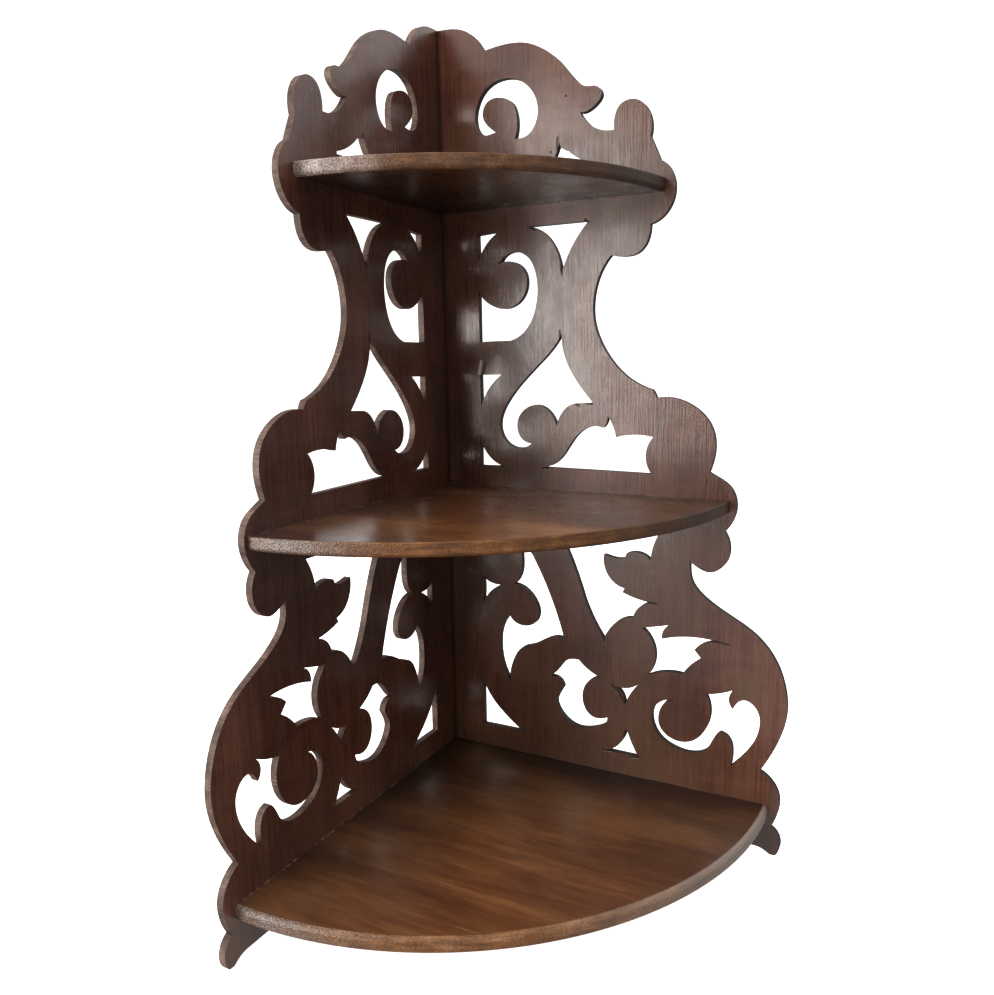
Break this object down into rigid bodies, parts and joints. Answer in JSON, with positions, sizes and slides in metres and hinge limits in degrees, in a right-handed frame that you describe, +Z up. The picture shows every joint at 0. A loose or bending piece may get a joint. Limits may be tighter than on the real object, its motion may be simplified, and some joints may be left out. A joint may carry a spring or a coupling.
{
  "type": "corner etagere",
  "caption": "Corner etagere with fret-sawn scrollwork side panels at a right angle and graduated quarter-round shelves.",
  "frame": {"origin": "on the floor, under the middle of the box around the object", "axes": "+Z up; the right side panel lies along +X at the +Y side and the left side panel along -Y at the -X side; the open front faces +X and -Y"},
  "size_m": [0.2977, 0.2977, 0.6485],
  "materials": {
    "left_panel_wood": "worn satin polish, dark walnut stain",
    "right_panel_wood": "worn satin polish, dark walnut stain",
    "bottom_shelf_wood": "worn satin polish, warm walnut",
    "middle_shelf_wood": "worn satin polish, warm walnut",
    "top_shelf_wood": "worn satin polish, warm walnut",
    "screw_metal": "dull, darkened by age",
    "brad_metal": "dull, darkened by age"
  },
  "bodies": {
    "root": {"bottom_screw_left_1": "screw_metal", "bottom_screw_left_2": "screw_metal", "bottom_screw_left_3": "screw_metal", "bottom_screw_right_1": "screw_metal", "bottom_screw_right_2": "screw_metal", "bottom_screw_right_3": "screw_metal", "bottom_shelf": "bottom_shelf_wood", "corner_brad_1": "brad_metal", "corner_brad_2": "brad_metal", "corner_brad_3": "brad_metal", "corner_brad_4": "brad_metal", "corner_brad_5": "brad_metal", "corner_brad_6": "brad_metal", "left_panel": "left_panel_wood", "middle_screw_left_1": "screw_metal", "middle_screw_left_2": "screw_metal", "middle_screw_right_1": "screw_metal", "middle_screw_right_2": "screw_metal", "middle_shelf": "middle_shelf_wood", "right_panel": "right_panel_wood", "top_screw_left_1": "screw_metal", "top_screw_left_2": "screw_metal", "top_screw_right_1": "screw_metal", "top_screw_right_2": "screw_metal", "top_shelf": "top_shelf_wood"}
  },
  "joints": []
}
